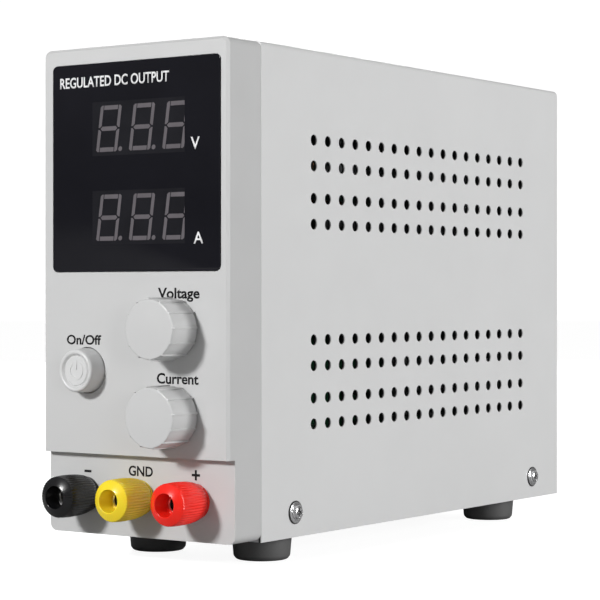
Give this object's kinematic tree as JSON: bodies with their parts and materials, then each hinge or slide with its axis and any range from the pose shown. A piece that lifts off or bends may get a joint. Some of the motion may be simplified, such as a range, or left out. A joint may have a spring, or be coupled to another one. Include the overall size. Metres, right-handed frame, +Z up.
{
  "type": "bench power supply",
  "caption": "Upright bench power supply in a vented sheet-metal case, with a dark display window, turning knobs, a push switch, screw-down binding posts, rear fan and mains inlet.",
  "frame": {"origin": "on the bench under the middle of the whole object, at the feet's lowest face", "axes": "+X to the right as the display is faced, +Y from the front to the back, +Z up"},
  "size_m": [0.0754, 0.2186, 0.158],
  "materials": {
    "cover_paint": "light grey fine powder coat",
    "sheet_steel": "zinc plated sheet",
    "panel_paint": "light grey fine powder coat",
    "bezel_plastic": "light grey moulded plastic",
    "lens_acrylic": "dark glossy acrylic",
    "knob_plastic": "light grey moulded plastic",
    "button_plastic": "light grey moulded plastic",
    "post_black": "black glossy moulding",
    "post_yellow": "yellow glossy moulding",
    "post_red": "red glossy moulding",
    "plated_brass": "nickel plated brass",
    "chrome_screw": "chromed",
    "zinc_screw": "zinc plated",
    "foot_rubber": "black rubber",
    "circuit_board": "green solder mask",
    "display_module": "dark epoxy face",
    "component_black": "black moulding",
    "ferrite": "dark grey ferrite",
    "winding_wire": "enamelled copper",
    "capacitor_sleeve": "dark sleeve",
    "heatsink_metal": "extruded",
    "fuse_glass": "clear glass",
    "lead_insulation": "soft insulation",
    "ribbon_insulation": "grey flat cable",
    "fan_plastic": "black moulding",
    "inlet_plastic": "black moulding",
    "selector_red": "red moulding"
  },
  "bodies": {
    "root": {"top_cover": "cover_paint", "base_tray": "sheet_steel", "solder_tags": "sheet_steel", "rear_panel": "panel_paint", "front_bezel": "bezel_plastic", "display_lens": "lens_acrylic", "negative_post_collar": "post_black", "ground_post_collar": "post_yellow", "positive_post_collar": "post_red", "negative_post_stud": "plated_brass", "ground_post_stud": "plated_brass", "positive_post_stud": "plated_brass", "post_nuts": "plated_brass", "inlet_pins": "plated_brass", "cover_screws": "chrome_screw", "chassis_screws": "zinc_screw", "fan_screws": "zinc_screw", "pot_nuts": "zinc_screw", "board_standoffs": "zinc_screw", "switch_spring": "zinc_screw", "rubber_feet": "foot_rubber", "display_board": "circuit_board", "main_board": "circuit_board", "voltage_display": "display_module", "current_display": "display_module", "pot_bodies": "component_black", "power_switch_body": "component_black", "power_devices": "component_black", "bridge_rectifier": "component_black", "line_filter_choke": "component_black", "selector_body": "component_black", "transformer_core": "ferrite", "transformer_winding": "winding_wire", "output_choke": "winding_wire", "bulk_capacitors": "capacitor_sleeve", "output_capacitors": "capacitor_sleeve", "primary_heatsink": "heatsink_metal", "secondary_heatsink": "heatsink_metal", "fuse_clips": "heatsink_metal", "fuse": "fuse_glass", "output_leads": "lead_insulation", "mains_leads": "lead_insulation", "fan_lead": "lead_insulation", "ribbon_cable": "ribbon_insulation", "fan_frame": "fan_plastic", "inlet_body": "inlet_plastic"},
    "voltage_knob": {"voltage_knob": "knob_plastic", "voltage_pot_shaft": "zinc_screw"},
    "current_knob": {"current_knob": "knob_plastic", "current_pot_shaft": "zinc_screw"},
    "power_button": {"power_button": "button_plastic", "switch_plunger": "component_black"},
    "fan_rotor": {"fan_rotor": "fan_plastic"},
    "selector_slider": {"selector_slider": "selector_red"},
    "negative_washer": {"negative_clamp_washer": "plated_brass"},
    "negative_cap": {"negative_post_cap": "post_black"},
    "ground_washer": {"ground_clamp_washer": "plated_brass"},
    "ground_cap": {"ground_post_cap": "post_yellow"},
    "positive_washer": {"positive_clamp_washer": "plated_brass"},
    "positive_cap": {"positive_post_cap": "post_red"}
  },
  "joints": [
    {"name": "voltage_turn", "type": "hinge", "parent": "root", "child": "voltage_knob", "pos_m": [0.0156, -0.09692, 0.0719], "axis": [0, -1, 0], "range_deg": [-150, 150]},
    {"name": "current_turn", "type": "hinge", "parent": "root", "child": "current_knob", "pos_m": [0.0156, -0.09692, 0.0459], "axis": [0, -1, 0], "range_deg": [-150, 150]},
    {"name": "power_press", "type": "slide", "parent": "root", "child": "power_button", "axis": [0, 1, 0], "range_m": [0, 0.003], "stiffness_N_per_m": 300, "springref_m": -0.003, "deforming": ["switch_spring"]},
    {"name": "negative_cap_travel", "type": "slide", "parent": "root", "child": "negative_washer", "axis": [0, -1, 0], "range_m": [0, 0.004]},
    {"name": "negative_cap_turn", "type": "hinge", "parent": "negative_washer", "child": "negative_cap", "pos_m": [-0.0212, -0.09373, 0.0206], "axis": [0, -1, 0], "range_deg": [0, 1441]},
    {"name": "ground_cap_travel", "type": "slide", "parent": "root", "child": "ground_washer", "axis": [0, -1, 0], "range_m": [0, 0.004]},
    {"name": "ground_cap_turn", "type": "hinge", "parent": "ground_washer", "child": "ground_cap", "pos_m": [0, -0.09373, 0.0206], "axis": [0, -1, 0], "range_deg": [0, 1441]},
    {"name": "positive_cap_travel", "type": "slide", "parent": "root", "child": "positive_washer", "axis": [0, -1, 0], "range_m": [0, 0.004]},
    {"name": "positive_cap_turn", "type": "hinge", "parent": "positive_washer", "child": "positive_cap", "pos_m": [0.0212, -0.09373, 0.0206], "axis": [0, -1, 0], "range_deg": [0, 1441]},
    {"name": "fan_spin", "type": "hinge", "parent": "root", "child": "fan_rotor", "pos_m": [0, 0.10508, 0.112], "axis": [0, 1, 0], "continuous": true},
    {"name": "selector_slide", "type": "slide", "parent": "root", "child": "selector_slider", "axis": [1, 0, 0], "range_m": [0, 0.0048]}
  ],
  "couplings": [
    {"joint": "negative_cap_turn", "follows": "negative_cap_travel", "rad_per_m": 6283.2},
    {"joint": "ground_cap_turn", "follows": "ground_cap_travel", "rad_per_m": 6283.2},
    {"joint": "positive_cap_turn", "follows": "positive_cap_travel", "rad_per_m": 6283.2}
  ]
}
